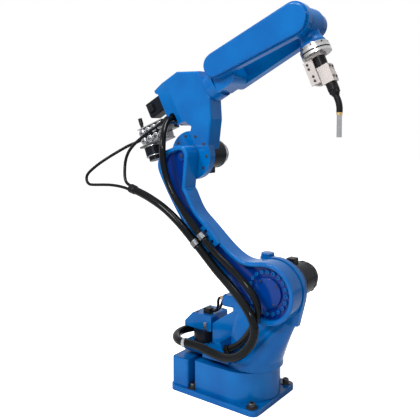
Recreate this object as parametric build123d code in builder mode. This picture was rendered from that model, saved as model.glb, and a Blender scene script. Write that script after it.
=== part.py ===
"""Six-axis arc welding robot arm, standing on its own base.

Millimetres. The origin lies on the swivel axis at the underside of the base, +X points forward,
+Z up, and -Y is the near side, where the lower arm hangs on the shoulder.
"""

import os
from math import asin, cos, degrees, hypot, pi, radians, sin, tan

from build123d import *

os.makedirs("parts", exist_ok=True)

# Distances between the six axes
shoulder_offset = 155.0
shoulder_height = 450.0
lower_arm_length = 614.0
elbow_offset = 200.0
forearm_length = 640.0
flange_offset = 100.0

# Pose at rest, in degrees: arm from the vertical, forearm from the level, tool below the level
lower_arm_angle = 39.5
forearm_angle = 28.0
tool_angle = 66.0
right_angle = 90.0

# Fits between pieces
running_gap = 0.3
side_clearance = 5.0
overrun = 2.0

# Depth planes, measured from the middle plane of the robot
housing_near = 50.0
turret_far = 52.0
elbow_far = 56.0
leg_far = 24.0
arm_depth = 70.0
arm_near = housing_near + side_clearance

# Base casting
base_width = 302.0
base_front = 135.0
base_rear = 265.0
base_height = 135.0
foot_thickness = 22.0
foot_corner_radius = 26.0
drum_inset = 19.0
drum_tail = 150.0
rear_box_length = 78.0
rear_box_inset = 8.0
neck_width = 196.0
neck_drop = 14.0
drum_edge_radius = 5.0
box_edge_radius = 10.0
bolt_hole_diameter = 18.0
bolt_side_inset = 26.0
bolt_front_inset = 30.0
bolt_rear_inset = 100.0

# Rear cable inlets
inlet_diameter = 46.0
inlet_bore = 34.0
inlet_length = 20.0
inlet_depth = 14.0
inlet_offset = 45.0
inlet_height = 72.0

# Turret casting
turret_foot_radius = 114.0
turret_foot_x = 34.0
turret_foot_edge = 5.0
turret_foot_height = 26.0
column_drop = 120.0
column_front = 246.0
column_front_far = 188.0
column_far = 66.0
column_rear = 30.0
column_corner_radius = 34.0
rear_wall_height = 62.0
shoulder_radius = 117.0
shoulder_depth = 22.0
shoulder_end_radius = 76.0
shelf_reach = 250.0
shelf_near = 92.0
shelf_far = 72.0
shelf_underside = 150.0
shelf_top = 178.0
shelf_corner_radius = 24.0
hose_block_rear = 112.0
hose_block_front = 9.0
hose_block_near = 135.0
hose_block_inner = 40.0
hose_block_top = 236.0
hose_block_slope = 34.0
hose_block_angle = 30.0
saddle_rear = 134.0
saddle_near = 40.0
saddle_far = 20.0
saddle_gap = 4.0
saddle_drop = 72.0
lead_boss_reach = 132.0
lead_boss_width = 50.0
lead_boss_height = 50.0
stop_pad_radius = 28.0
stop_pad_height = 104.5
stop_setback = 62.0

# Shoulder and elbow reducers
shoulder_reducer_radius = 88.0
elbow_reducer_radius = 38.0

# Motors
shoulder_motor_radius = 63.0
shoulder_motor_flange_radius = 74.0
motor_flange_thickness = 12.0
shoulder_motor_length = 104.0
shoulder_motor_cap_length = 26.0
motor_cap_inset = 9.0
elbow_motor_radius = 57.0
elbow_motor_length = 94.0
elbow_motor_cap_length = 32.0
motor_edge_radius = 5.0
swivel_motor_radius = 45.0
swivel_motor_x = -185.0
swivel_motor_y = -22.0
swivel_motor_height = 47.0
swivel_housing_length = 134.0
swivel_housing_width = 114.0
swivel_housing_height = 63.0
swivel_housing_x = -206.0
swivel_housing_y = 14.0
swivel_housing_slope = 42.0
housing_edge_radius = 9.0
roll_motor_length = 80.0
roll_motor_width = 66.0
roll_motor_height = 66.0
roll_motor_rise = 70.0
roll_motor_edge_radius = 7.0

# Stop post and junction cover on the turret
stop_post_radius = 25.0
stop_post_height = 15.0
junction_length = 58.0
junction_width = 84.0
junction_height = 46.0
junction_edge_radius = 12.0

# Lower arm
dish_radius = 113.0
elbow_end_radius = 42.0
elbow_heel_radius = 64.0
elbow_heel_share = 0.53
web_rim = 17.0
dish_front_angle = 55.0
dish_rear_angle = 190.0
elbow_end_front_angle = -45.0
elbow_heel_rear_angle = 167.5
rim_edge_radius = 6.0
channel_depth = 26.0
hub_cover_radius = 56.0
hub_cover_thickness = 9.0
elbow_cover_radius = 19.0
elbow_cover_thickness = 8.0

# Front and rear edges of the lower arm: shares of the dish radius and of the arm's length
dish_front_shares = (0.6085664, 0.11)
web_front_shares = [(-0.26, 0.31), (-0.42, 0.44), (-0.53, 0.56), (-0.61, 0.68),
                    (-0.5, 0.79)]
web_rear_shares = [(-1.26, 0.82), (-1.33, 0.62), (-1.27, 0.4), (-1.1, 0.2)]

# Hose bracket and clamp on the lower arm
bracket_front_share = 0.39
bracket_rear_share = 1.29
bracket_low_share = 0.4
bracket_high_share = 0.55
bracket_thickness = 6.0
bracket_hole_diameter = 13.0
bracket_hole_share = 0.62
bracket_hole_pitch = 46.0
clamp_front_share = -0.938
clamp_along_share = 0.4902
clamp_angle = 8.5
clamp_length = 24.0
clamp_width = 78.0
clamp_height = 40.0
clamp_edge_radius = 3.0
clamp_lead = 55.0

# Elbow housing
elbow_front = 190.0
elbow_rear = 50.0
elbow_top = 130.0
elbow_hub_radius = 97.0
elbow_hub_depth = 34.0
elbow_hub_end_radius = 64.0
elbow_crest_share = 0.455
elbow_brow_share = 0.37
elbow_chin_share = -0.22
elbow_cheek_along = 24.0
elbow_cheek_depth = 22.0
elbow_far_edge_radius = 18.0
elbow_near_edge_radius = 8.0
elbow_lip = 13.0
elbow_lip_height = 24.0
elbow_heel_drop = 28.0
elbow_sole_drop = 59.0
elbow_sole_share = -0.075
window_top_shares = [(0.195, -0.335), (0.285, -0.505), (0.15, -0.65)]
leg_front_shares = [(0.78, -0.6), (0.44, -1.08)]
port_radius = 22.0
port_along = 22.0
port_drop = 22.0
port_depth = 40.0
gland_length = 18.0
gland_wall = 6.0

# Wire feeder behind the elbow, set at an angle to the forearm
feeder_angle = 20.0
feeder_front = 40.0
feeder_rear = 186.0
feeder_low = 70.0
feeder_high = 4.0
feeder_near = 8.0
feeder_far = 30.0
feeder_bracket_near = 6.0
feeder_bracket_far = 26.0
feeder_bracket_low = 46.0
feeder_bracket_high = 8.0
feeder_bracket_length = 44.0
feeder_plate_thickness = 7.0
feeder_plate_near = 36.0
feeder_plate_far = 36.0
feeder_motor_x = 146.0
feeder_motor_radius = 36.0
feeder_motor_drop = 44.0
feeder_motor_end_radius = 28.0
feeder_motor_end_drop = 20.0
roller_radius = 16.0
roller_width = 16.0
roller_hub_radius = 8.0
roller_hub_width = 4.0
roller_count = 4
roller_pitch = 35.0
upper_roller_drop = 14.0
lower_roller_drop = 50.0
lever_radius = 7.0
lever_length = 24.0
lever_grip_radius = 9.0
lever_grip_length = 28.0
lever_inset = 12.0

# Forearm
neck_radius = 58.0
neck_length = 42.0
yoke_length = 96.0
yoke_top = 58.0
yoke_bottom = 46.0
yoke_chin_radius = 30.0
support_inner = 46.0
support_depth = 42.0
drive_depth = 28.0
cover_depth = 14.0
cover_inset = 6.0
drive_root_radius = 50.0
drive_root_along = 93.0
drive_root_up = 40.0
drive_end_radius = 60.0
drive_end_up = 6.0
support_root_radius = 40.0
support_root_along = 85.0
support_root_drop = 6.0
support_end_radius = 47.0
leg_edge_radius = 5.0

# Wrist and tool
wrist_radius = 56.0
wrist_hub_radius = 34.0
wrist_nose_radius = 38.0
wrist_nose_end = 88.0
wrist_collar_radius = 46.0
wrist_collar_width = 8.0
wrist_flare = 16.0
flange_radius = 50.0
sensor_radius = 54.0
sensor_length = 25.0
sensor_groove = 5.0
bracket_foot_thickness = 8.0
torch_bracket_width = 50.0
torch_bracket_drop = 99.0
torch_bracket_rear = 40.0
adapter_radius = 24.0
adapter_length = 37.0
torch_offset = 9.0
torch_block_size = 44.0
torch_block_length = 64.0
torch_block_lug = 20.0
torch_body_radius = 20.0
torch_body_length = 28.0
torch_neck_radius = 11.0
torch_bend_run = 52.0
torch_bend_radius = 90.0
torch_drop = 28.0
ring_radius = 10.5
ring_length = 9.0
nozzle_radius = 9.0
nozzle_bore = 12.0
nozzle_bore_depth = 30.0
nozzle_length = 76.0

# Hoses and cables
conduit_diameter = 32.0
supply_diameter = 26.0
cable_diameter = 13.0
sleeve_radius = 19.0
sleeve_length = 26.0
cable_spread = 9.0
conduit_gland_height = 203.0
supply_gland_height = 204.0
supply_gland_inset = 20.0
gland_run = 30.0
feeder_inlet_drop = 32.0
feeder_inlet_far = 8.0
elbow_inlet_drop = 8.0
elbow_inlet_near = 34.0
cable_run = 28.0
arc_share = 0.45

# Directions and local planes: x and y lie in the robot's middle plane, z points to the near side
near_side = Vector(0, -1, 0)
far_side = Vector(0, 1, 0)


def level_direction(degrees):
    """Unit vector in the middle plane, turned up from +X."""
    return Vector(cos(radians(degrees)), 0, sin(radians(degrees)))


arm_front = level_direction(lower_arm_angle)
arm_along = level_direction(lower_arm_angle + right_angle)
fore_along = level_direction(forearm_angle)
fore_up = level_direction(forearm_angle + right_angle)
tool_along = level_direction(-tool_angle)
tool_up = level_direction(right_angle - tool_angle)

shoulder_point = Vector(shoulder_offset, 0, shoulder_height)
elbow_point = shoulder_point + arm_along * lower_arm_length
roll_point = elbow_point + fore_up * elbow_offset
wrist_point = roll_point + fore_along * forearm_length

side_plane = Plane(origin=(0, 0, 0), x_dir=(1, 0, 0), z_dir=near_side)
arm_plane = Plane(origin=shoulder_point, x_dir=arm_front, z_dir=near_side)
fore_plane = Plane(origin=roll_point, x_dir=fore_along, z_dir=near_side)
tool_plane = Plane(origin=wrist_point, x_dir=tool_along, z_dir=near_side)


def tool_section(distance):
    """Plane across the tool axis, at a distance from the wrist axis."""
    return Plane(origin=wrist_point + tool_along * distance, x_dir=far_side, z_dir=tool_along)


def fore_section(distance):
    """Plane across the forearm's roll axis."""
    return Plane(origin=roll_point + fore_along * distance, x_dir=far_side, z_dir=fore_along)


def finish(builder, name):
    """Label a finished piece and write it."""
    builder.part.label = name
    export_step(builder.part, f"parts/{name}.step")


# Base: foot plate, round drum with flat flanks, a necked waist and the rear connector box
foot_length = base_front + base_rear
drum_radius = base_width / 2 - drum_inset
bolt_front = base_front - bolt_front_inset
bolt_rear = base_rear - bolt_rear_inset
bolt_side = base_width / 2 - bolt_side_inset
with BuildPart() as base_casting:
    with BuildSketch(Plane.XY):
        with Locations(((base_front - base_rear) / 2, 0)):
            RectangleRounded(foot_length, base_width, foot_corner_radius)
    extrude(amount=foot_thickness)
    with BuildSketch(Plane.XY.offset(foot_thickness)):
        Circle(drum_radius)
        with Locations((-drum_tail / 2, 0)):
            Rectangle(drum_tail, 2 * drum_radius)
    extrude(amount=base_height - foot_thickness)
    with BuildSketch(Plane.XY.offset(foot_thickness)):
        with Locations((rear_box_length / 2 + rear_box_inset - base_rear, 0)):
            RectangleRounded(rear_box_length, base_width - 2 * rear_box_inset, box_edge_radius)
    extrude(amount=base_height - foot_thickness)
    with BuildSketch(Plane.XY.offset(foot_thickness)):
        with Locations((-(base_rear + drum_tail) / 2, 0)):
            Rectangle(base_rear - drum_tail - 2 * rear_box_inset, neck_width)
    extrude(amount=base_height - neck_drop - foot_thickness)
    fillet(base_casting.faces().sort_by(Axis.Z)[-1].edges(), drum_edge_radius)
    with Locations(((bolt_front - bolt_rear) / 2, 0, foot_thickness)):
        with GridLocations(bolt_front + bolt_rear, 2 * bolt_side, 2, 2):
            Hole(bolt_hole_diameter / 2, depth=foot_thickness)
finish(base_casting, "base_casting")

# Two cable inlets on the rear face of the base, open to the rear
with BuildPart() as base_inlets:
    inlet_face = Plane(origin=(rear_box_inset - base_rear, 0, inlet_height), x_dir=(0, 1, 0),
                       z_dir=(-1, 0, 0))
    with BuildSketch(inlet_face):
        with GridLocations(2 * inlet_offset, 0, 2, 1):
            Circle(inlet_diameter / 2)
    extrude(amount=inlet_length)
    with BuildSketch(inlet_face.offset(inlet_length)):
        with GridLocations(2 * inlet_offset, 0, 2, 1):
            Circle(inlet_bore / 2)
    extrude(amount=-inlet_depth, mode=Mode.SUBTRACT)
finish(base_inlets, "base_inlets")

# Turret: round foot, flared column, shoulder barrel, rear shelf and the blocks that hold hoses
turret_floor = base_height + running_gap
flare_start = turret_floor + turret_foot_height
column_top = shoulder_height - column_drop
saddle_top = column_top + (rear_wall_height - junction_height) / 2 - saddle_gap
rake_slope = tan(radians(hose_block_angle))
with BuildPart() as turret_casting:
    with BuildSketch(Plane.XY.offset(turret_floor)):
        with Locations((turret_foot_x, 0)):
            Circle(turret_foot_radius)
    extrude(amount=turret_foot_height)
    fillet(turret_casting.faces().sort_by(Axis.Z)[0].edges(), turret_foot_edge)
    with BuildSketch(Plane.XY.offset(flare_start)):
        with Locations((turret_foot_x, 0)):
            Circle(turret_foot_radius)
    with BuildSketch(Plane.XY.offset(column_top)) as column_section:
        with BuildLine():
            Polyline((-column_rear, -housing_near), (column_front, -housing_near),
                     (column_front_far, column_far), (-column_rear, column_far), close=True)
        make_face()
        fillet(column_section.vertices(), column_corner_radius)
    loft()
    rear_wall = [(shoulder_offset, shoulder_height), (-column_rear, column_top + rear_wall_height),
                 (-column_rear, column_top)]
    with BuildSketch(side_plane.offset(housing_near)):
        with Locations((shoulder_offset, shoulder_height)):
            Circle(shoulder_radius)
        with BuildLine():
            Polyline(*rear_wall, (column_front, column_top), close=True)
        make_face()
        make_hull()
    extrude(amount=-shoulder_depth)
    with BuildSketch(side_plane.offset(housing_near)):
        with BuildLine():
            Polyline(*rear_wall, (column_front_far, column_top), close=True)
        make_face()
    extrude(amount=-(housing_near + turret_far))
    with BuildSketch(arm_plane.offset(housing_near - shoulder_depth)):
        Circle(shoulder_radius)
    with BuildSketch(arm_plane.offset(-turret_far)):
        Circle(shoulder_end_radius)
    loft()
    with BuildSketch(Plane.XY.offset(shelf_underside)):
        with Locations((-shelf_reach / 2, (shelf_far - shelf_near) / 2)):
            RectangleRounded(shelf_reach, shelf_far + shelf_near, shelf_corner_radius)
    extrude(amount=shelf_top - shelf_underside)
    with BuildSketch(side_plane.offset(hose_block_near)):
        with BuildLine():
            Polyline((-hose_block_rear, flare_start), (hose_block_front, flare_start),
                     (hose_block_front - (hose_block_top - flare_start) * rake_slope, hose_block_top),
                     (-hose_block_rear, hose_block_top - hose_block_slope), close=True)
        make_face()
    extrude(amount=-(hose_block_near - hose_block_inner))
    with BuildSketch(side_plane.offset(saddle_near)):
        with BuildLine():
            Polyline((-saddle_rear, flare_start), (0, flare_start), (0, saddle_top), (-column_rear, saddle_top),
                     (-saddle_rear, saddle_top - saddle_drop), close=True)
        make_face()
    extrude(amount=-(saddle_near + saddle_far))
    with BuildSketch(Plane.XY.offset(flare_start)):
        with Locations((-lead_boss_reach / 2, shelf_far - lead_boss_width / 2)):
            Rectangle(lead_boss_reach, lead_boss_width)
    extrude(amount=lead_boss_height + shelf_top - flare_start)
    stop_plane = Plane(origin=(shoulder_offset - stop_setback, 0, shoulder_height))
    with BuildSketch(stop_plane):
        Circle(stop_pad_radius)
    extrude(amount=stop_pad_height)
finish(turret_casting, "turret_casting")

# Reducer rings that carry the lower arm on the shoulder and the elbow on the lower arm
ring_width = side_clearance - running_gap
with BuildPart() as shoulder_reducer:
    with BuildSketch(arm_plane.offset(housing_near)):
        Circle(shoulder_reducer_radius)
    extrude(amount=ring_width)
finish(shoulder_reducer, "shoulder_reducer")

with BuildPart() as elbow_reducer:
    with BuildSketch(arm_plane.offset(housing_near)):
        with Locations((0, lower_arm_length)):
            Circle(elbow_reducer_radius)
    extrude(amount=ring_width)
finish(elbow_reducer, "elbow_reducer")

# Shoulder motor on the far side, with its encoder cap
with BuildPart() as shoulder_motor:
    with BuildSketch(arm_plane.offset(-turret_far)):
        Circle(shoulder_motor_flange_radius)
    extrude(amount=-motor_flange_thickness)
    with BuildSketch(arm_plane.offset(-turret_far - motor_flange_thickness)):
        Circle(shoulder_motor_radius)
    extrude(amount=-shoulder_motor_length)
finish(shoulder_motor, "shoulder_motor")

shoulder_motor_end = turret_far + motor_flange_thickness + shoulder_motor_length
with BuildPart() as shoulder_motor_cap:
    with BuildSketch(arm_plane.offset(-shoulder_motor_end)):
        Circle(shoulder_motor_radius - motor_cap_inset)
    extrude(amount=-shoulder_motor_cap_length)
    fillet(shoulder_motor_cap.faces().sort_by(Axis.Y)[-1].edges(), motor_edge_radius)
finish(shoulder_motor_cap, "shoulder_motor_cap")

# Stop post on the shoulder's pad
with BuildPart() as stop_post:
    with BuildSketch(stop_plane.offset(stop_pad_height)):
        Circle(stop_post_radius)
    extrude(amount=stop_post_height)
    fillet(stop_post.faces().sort_by(Axis.Z)[-1].edges(), motor_edge_radius)
finish(stop_post, "stop_post")

# Swivel motor on the turret's shelf, under its sloped housing
with BuildPart() as swivel_motor:
    with BuildSketch(Plane.XY.offset(shelf_top)):
        with Locations((swivel_motor_x, swivel_motor_y)):
            Circle(swivel_motor_radius)
    extrude(amount=swivel_motor_height)
finish(swivel_motor, "swivel_motor")

housing_floor = shelf_top + swivel_motor_height
with BuildPart() as swivel_housing:
    with BuildSketch(side_plane.offset(swivel_housing_width / 2 - swivel_housing_y)):
        with BuildLine():
            Polyline((swivel_housing_x - swivel_housing_length / 2, housing_floor),
                     (swivel_housing_x + swivel_housing_length / 2, housing_floor),
                     (swivel_housing_x + swivel_housing_length / 2, housing_floor + swivel_housing_height),
                     (swivel_housing_x - swivel_housing_length / 2 + swivel_housing_slope,
                      housing_floor + swivel_housing_height),
                     (swivel_housing_x - swivel_housing_length / 2,
                      housing_floor + swivel_housing_height - swivel_housing_slope),
                     close=True)
        make_face()
    extrude(amount=-swivel_housing_width)
    fillet(swivel_housing.edges().filter_by(Axis.Y).group_by(Axis.Z)[1:], housing_edge_radius)
finish(swivel_housing, "swivel_housing")

# Junction cover on the turret's rear wall
with BuildPart() as junction_cover:
    wall_plane = Plane(origin=(-column_rear, 0, column_top + rear_wall_height / 2), x_dir=(0, 1, 0),
                       z_dir=(-1, 0, 0))
    with BuildSketch(wall_plane):
        RectangleRounded(junction_width, junction_height, junction_edge_radius)
    extrude(amount=junction_length)
    fillet(junction_cover.faces().sort_by(Axis.X)[0].edges(), junction_edge_radius / 2)
finish(junction_cover, "junction_cover")


def arm_point(share):
    """Place on the lower arm: front and along, from shares of the dish radius and the arm's length."""
    return (share[0] * dish_radius, share[1] * lower_arm_length)


def rim_place(centre, radius, angle):
    """Place on a circle, and the way the outline runs there, at an angle from the arm's front."""
    out = (cos(radians(angle)), sin(radians(angle)))
    return (centre[0] + radius * out[0], centre[1] + radius * out[1]), (-out[1], out[0])


def web_edge(start, points, end, inset):
    """Smooth edge between two places on circles, its points moved in square to the edge."""
    moved = [start[0]]
    for before, point, after in zip(points[:1] + points, points, points[1:] + points[-1:]):
        run = hypot(after[0] - before[0], after[1] - before[1])
        moved.append((point[0] - inset * (after[1] - before[1]) / run,
                      point[1] + inset * (after[0] - before[0]) / run))
    Spline(*moved, end[0], tangents=(start[1], end[1]))


def arm_outline(inset):
    """Lower arm seen from the near side, drawn a given distance inside its outer edge."""
    crown = (0, lower_arm_length)
    heel = (-elbow_heel_share * dish_radius, lower_arm_length)
    dish_rim, crown_rim, heel_rim = dish_radius - inset, elbow_end_radius - inset, elbow_heel_radius - inset
    top_angle = right_angle + degrees(asin((crown_rim - heel_rim) / (crown[0] - heel[0])))
    dish_arc = right_angle * 4 + dish_front_angle - dish_rear_angle
    front_points = [(0, dish_front_shares[0] * dish_radius + dish_front_shares[1] * lower_arm_length)]
    front_points += [arm_point(share) for share in web_front_shares]
    rear_points = [arm_point(share) for share in web_rear_shares]
    with BuildSketch(mode=Mode.PRIVATE) as outline:
        with BuildLine():
            CenterArc((0, 0), dish_rim, dish_rear_angle, dish_arc)
            web_edge(rim_place((0, 0), dish_rim, dish_front_angle), front_points,
                     rim_place(crown, crown_rim, elbow_end_front_angle), inset)
            CenterArc(crown, crown_rim, elbow_end_front_angle, top_angle - elbow_end_front_angle)
            Line(rim_place(crown, crown_rim, top_angle)[0], rim_place(heel, heel_rim, top_angle)[0])
            CenterArc(heel, heel_rim, top_angle, elbow_heel_rear_angle - top_angle)
            web_edge(rim_place(heel, heel_rim, elbow_heel_rear_angle), rear_points,
                     rim_place((0, 0), dish_rim, dish_rear_angle), inset)
        make_face()
    return outline.sketch


# Lower arm: a bowed channel section with a dish at the shoulder and a round end at the elbow
arm_outer = arm_near + arm_depth
with BuildPart() as lower_arm_casting:
    with BuildSketch(arm_plane.offset(arm_near)):
        add(arm_outline(0))
    extrude(amount=arm_depth)
    with BuildSketch(arm_plane.offset(arm_outer)):
        add(arm_outline(web_rim))
    extrude(amount=-channel_depth, mode=Mode.SUBTRACT)
    fillet(lower_arm_casting.faces().sort_by(Axis.Y)[0].edges(), rim_edge_radius)
finish(lower_arm_casting, "lower_arm_casting")

# Round covers over the two reducers, on the floor of the channel
channel_floor = arm_outer - channel_depth
with BuildPart() as shoulder_hub_cover:
    with BuildSketch(arm_plane.offset(channel_floor)):
        Circle(hub_cover_radius)
    extrude(amount=hub_cover_thickness)
    fillet(shoulder_hub_cover.faces().sort_by(Axis.Y)[0].edges(), hub_cover_thickness / 3)
finish(shoulder_hub_cover, "shoulder_hub_cover")

with BuildPart() as elbow_hub_cover:
    with BuildSketch(arm_plane.offset(channel_floor)):
        with Locations((0, lower_arm_length)):
            Circle(elbow_cover_radius)
    extrude(amount=elbow_cover_thickness)
    fillet(elbow_hub_cover.faces().sort_by(Axis.Y)[0].edges(), elbow_cover_thickness / 3)
finish(elbow_hub_cover, "elbow_hub_cover")

# Bracket plate across the channel, with two spare holes, and the clamp that holds both hoses
bracket_length = (bracket_high_share - bracket_low_share) * lower_arm_length
bracket_middle = (bracket_high_share + bracket_low_share) / 2 * lower_arm_length
with BuildPart() as hose_bracket:
    with BuildSketch(arm_plane.offset(arm_outer)):
        with Locations((-(bracket_rear_share + bracket_front_share) / 2 * dish_radius, bracket_middle)):
            Rectangle((bracket_rear_share - bracket_front_share) * dish_radius, bracket_length)
        with Locations((-bracket_hole_share * dish_radius, bracket_middle + bracket_hole_pitch / 2),
                       (-bracket_hole_share * dish_radius, bracket_middle - bracket_hole_pitch / 2)):
            Circle(bracket_hole_diameter / 2, mode=Mode.SUBTRACT)
    extrude(amount=bracket_thickness)
finish(hose_bracket, "hose_bracket")

clamp_seat = arm_outer + bracket_thickness
with BuildPart() as hose_clamp:
    with BuildSketch(arm_plane.offset(clamp_seat)):
        clamp_place = arm_point((clamp_front_share, clamp_along_share))
        with Locations(Location((*clamp_place, 0), (0, 0, clamp_angle))):
            Rectangle(clamp_width, clamp_length)
    extrude(amount=clamp_height)
    fillet(hose_clamp.faces().sort_by(Axis.Y)[0].edges(), clamp_edge_radius)
finish(hose_clamp, "hose_clamp")

# Elbow: the body that carries the forearm, its leg and the hub on the lower arm
def elbow_places(shares):
    """Points of the elbow, along and above the roll axis, from shares of the elbow's offset."""
    return [(share[0] * elbow_offset, share[1] * elbow_offset) for share in shares]


elbow_tail = elbow_rear + elbow_lip
elbow_upper = [(-elbow_rear, -elbow_heel_drop), (-elbow_rear, elbow_top - elbow_lip_height),
               (-elbow_tail, elbow_top - elbow_lip), (-elbow_tail, elbow_top),
               (elbow_crest_share * elbow_offset, elbow_top),
               (elbow_front, elbow_brow_share * elbow_offset),
               (elbow_front, elbow_chin_share * elbow_offset)]
elbow_sole = (elbow_sole_share * elbow_offset, -elbow_sole_drop)
elbow_window = elbow_places(window_top_shares)
with BuildPart() as elbow_housing:
    with BuildSketch(fore_plane.offset(housing_near)):
        with BuildLine():
            Polyline(*elbow_upper, elbow_window[0], elbow_sole, close=True)
        make_face()
    extrude(amount=-(housing_near + elbow_far))
    far_edges = elbow_housing.faces().sort_by(Axis.Y)[-1].edges()
    fillet(far_edges.filter_by(lambda edge: edge.length > elbow_hub_radius), elbow_far_edge_radius)
    with BuildSketch(fore_plane.offset(housing_near)):
        with BuildLine():
            Polyline(*elbow_upper, *elbow_places(leg_front_shares), (0, -elbow_offset),
                     *reversed(elbow_window), elbow_sole, close=True)
        make_face()
    extrude(amount=-(housing_near + leg_far))
    with BuildSketch(fore_plane.offset(housing_near)):
        with Locations((0, -elbow_offset)):
            Circle(elbow_hub_radius)
    extrude(amount=-elbow_hub_depth)
    with BuildSketch(fore_plane.offset(housing_near - elbow_hub_depth)):
        with Locations((0, -elbow_offset)):
            Circle(elbow_hub_radius)
    with BuildSketch(fore_plane.offset(-leg_far)):
        with Locations((0, -elbow_offset)):
            Circle(elbow_hub_end_radius)
    loft()
    with BuildSketch(Plane(origin=roll_point - fore_up * elbow_sole_drop, x_dir=fore_along, z_dir=fore_up)):
        with BuildLine():
            Polyline((-elbow_tail - overrun, -housing_near), (elbow_cheek_along, -housing_near),
                     (-elbow_tail - overrun, elbow_cheek_depth - housing_near), close=True)
        make_face()
    extrude(amount=elbow_sole_drop + elbow_top, mode=Mode.SUBTRACT)
    with BuildSketch(fore_plane.offset(housing_near)):
        with Locations((-port_along, -port_drop)):
            Circle(port_radius)
        with Locations((-port_along, -port_drop - elbow_sole_drop / 2)):
            Rectangle(2 * port_radius, elbow_sole_drop)
    extrude(amount=-port_depth, mode=Mode.SUBTRACT)
    near_edges = elbow_housing.faces().filter_by(Axis.Y).sort_by(Axis.Y)[0].edges().filter_by(GeomType.LINE)
    fillet(near_edges.filter_by(lambda edge: edge.length > elbow_sole_drop), elbow_near_edge_radius)
finish(elbow_housing, "elbow_housing")

# Elbow motor on the far side, with its cap
with BuildPart() as elbow_motor:
    with BuildSketch(fore_plane.offset(-leg_far)):
        with Locations((0, -elbow_offset)):
            Circle(elbow_motor_radius)
    extrude(amount=-elbow_motor_length)
finish(elbow_motor, "elbow_motor")

with BuildPart() as elbow_motor_cap:
    with BuildSketch(fore_plane.offset(-leg_far - elbow_motor_length)):
        with Locations((0, -elbow_offset)):
            Circle(elbow_motor_radius - motor_cap_inset)
    extrude(amount=-elbow_motor_cap_length)
    fillet(elbow_motor_cap.faces().sort_by(Axis.Y)[-1].edges(), motor_edge_radius)
finish(elbow_motor_cap, "elbow_motor_cap")

# Roll motor on the rear face of the elbow
with BuildPart() as roll_motor:
    with BuildSketch(fore_section(-elbow_rear)):
        with Locations((0, roll_motor_rise)):
            RectangleRounded(roll_motor_width, roll_motor_height, roll_motor_edge_radius)
    extrude(amount=-roll_motor_length)
finish(roll_motor, "roll_motor")

# Wire feeder: bracket, drive frame, two rows of rollers, the pressure lever, foot plate and motor
feeder_along = level_direction(feeder_angle)
feeder_up = level_direction(feeder_angle + right_angle)
feeder_origin = roll_point - fore_along * elbow_rear
feeder_plane = Plane(origin=feeder_origin, x_dir=feeder_along, z_dir=near_side)
feeder_middle = -(feeder_front + feeder_rear) / 2
feeder_length = feeder_rear - feeder_front
with BuildPart() as feeder_frame:
    with BuildSketch(feeder_plane.offset(feeder_near)):
        with Locations((feeder_middle, (feeder_high - feeder_low) / 2)):
            Rectangle(feeder_length, feeder_high + feeder_low)
    extrude(amount=-(feeder_near + feeder_far))
finish(feeder_frame, "feeder_frame")

with BuildPart() as feeder_bracket:
    with BuildSketch(feeder_plane.offset(feeder_bracket_near)):
        with BuildLine():
            Polyline((-feeder_front, feeder_bracket_high), (-feeder_front, -feeder_bracket_low),
                     (feeder_bracket_length - feeder_front, -feeder_bracket_low),
                     (feeder_bracket_length - feeder_front, feeder_bracket_high), close=True)
        make_face()
    extrude(amount=-(feeder_bracket_near + feeder_bracket_far))
    with BuildSketch(fore_plane.offset(feeder_bracket_near + overrun)):
        with Locations((-elbow_rear + feeder_rear / 2, 0)):
            Rectangle(feeder_rear, feeder_rear)
    extrude(amount=-(feeder_bracket_near + feeder_bracket_far + 2 * overrun), mode=Mode.SUBTRACT)
finish(feeder_bracket, "feeder_bracket")

with BuildPart() as feeder_rollers:
    roller_places = [(feeder_middle, -upper_roller_drop), (feeder_middle, -lower_roller_drop)]
    with BuildSketch(feeder_plane.offset(feeder_near)):
        with Locations(*roller_places):
            with GridLocations(roller_pitch, 0, roller_count, 1):
                Circle(roller_radius)
    extrude(amount=roller_width)
    with BuildSketch(feeder_plane.offset(feeder_near + roller_width)):
        with Locations(*roller_places):
            with GridLocations(roller_pitch, 0, roller_count, 1):
                Circle(roller_hub_radius)
    extrude(amount=roller_hub_width)
finish(feeder_rollers, "feeder_rollers")

with BuildPart() as feeder_lever:
    lever_foot = feeder_origin - feeder_along * (feeder_rear - lever_inset) + feeder_up * feeder_high
    lever_plane = Plane(origin=lever_foot, x_dir=near_side, z_dir=feeder_up)
    with BuildSketch(lever_plane):
        Circle(lever_radius)
    extrude(amount=lever_length)
    with BuildSketch(lever_plane.offset(lever_length)):
        Circle(lever_grip_radius)
    extrude(amount=lever_grip_length)
finish(feeder_lever, "feeder_lever")

with BuildPart() as feeder_plate:
    with BuildSketch(feeder_plane.offset(feeder_plate_near)):
        with Locations((feeder_middle, -feeder_low - feeder_plate_thickness / 2)):
            Rectangle(feeder_length, feeder_plate_thickness)
    extrude(amount=-(feeder_plate_near + feeder_plate_far))
finish(feeder_plate, "feeder_plate")

with BuildPart() as feeder_motor:
    motor_seat = Plane(origin=feeder_origin - feeder_along * feeder_motor_x
                       - feeder_up * (feeder_low + feeder_plate_thickness), x_dir=near_side, z_dir=-feeder_up)
    with BuildSketch(motor_seat):
        Circle(feeder_motor_radius)
    extrude(amount=feeder_motor_drop)
    with BuildSketch(motor_seat.offset(feeder_motor_drop)):
        Circle(feeder_motor_end_radius)
    extrude(amount=feeder_motor_end_drop)
finish(feeder_motor, "feeder_motor")

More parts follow.
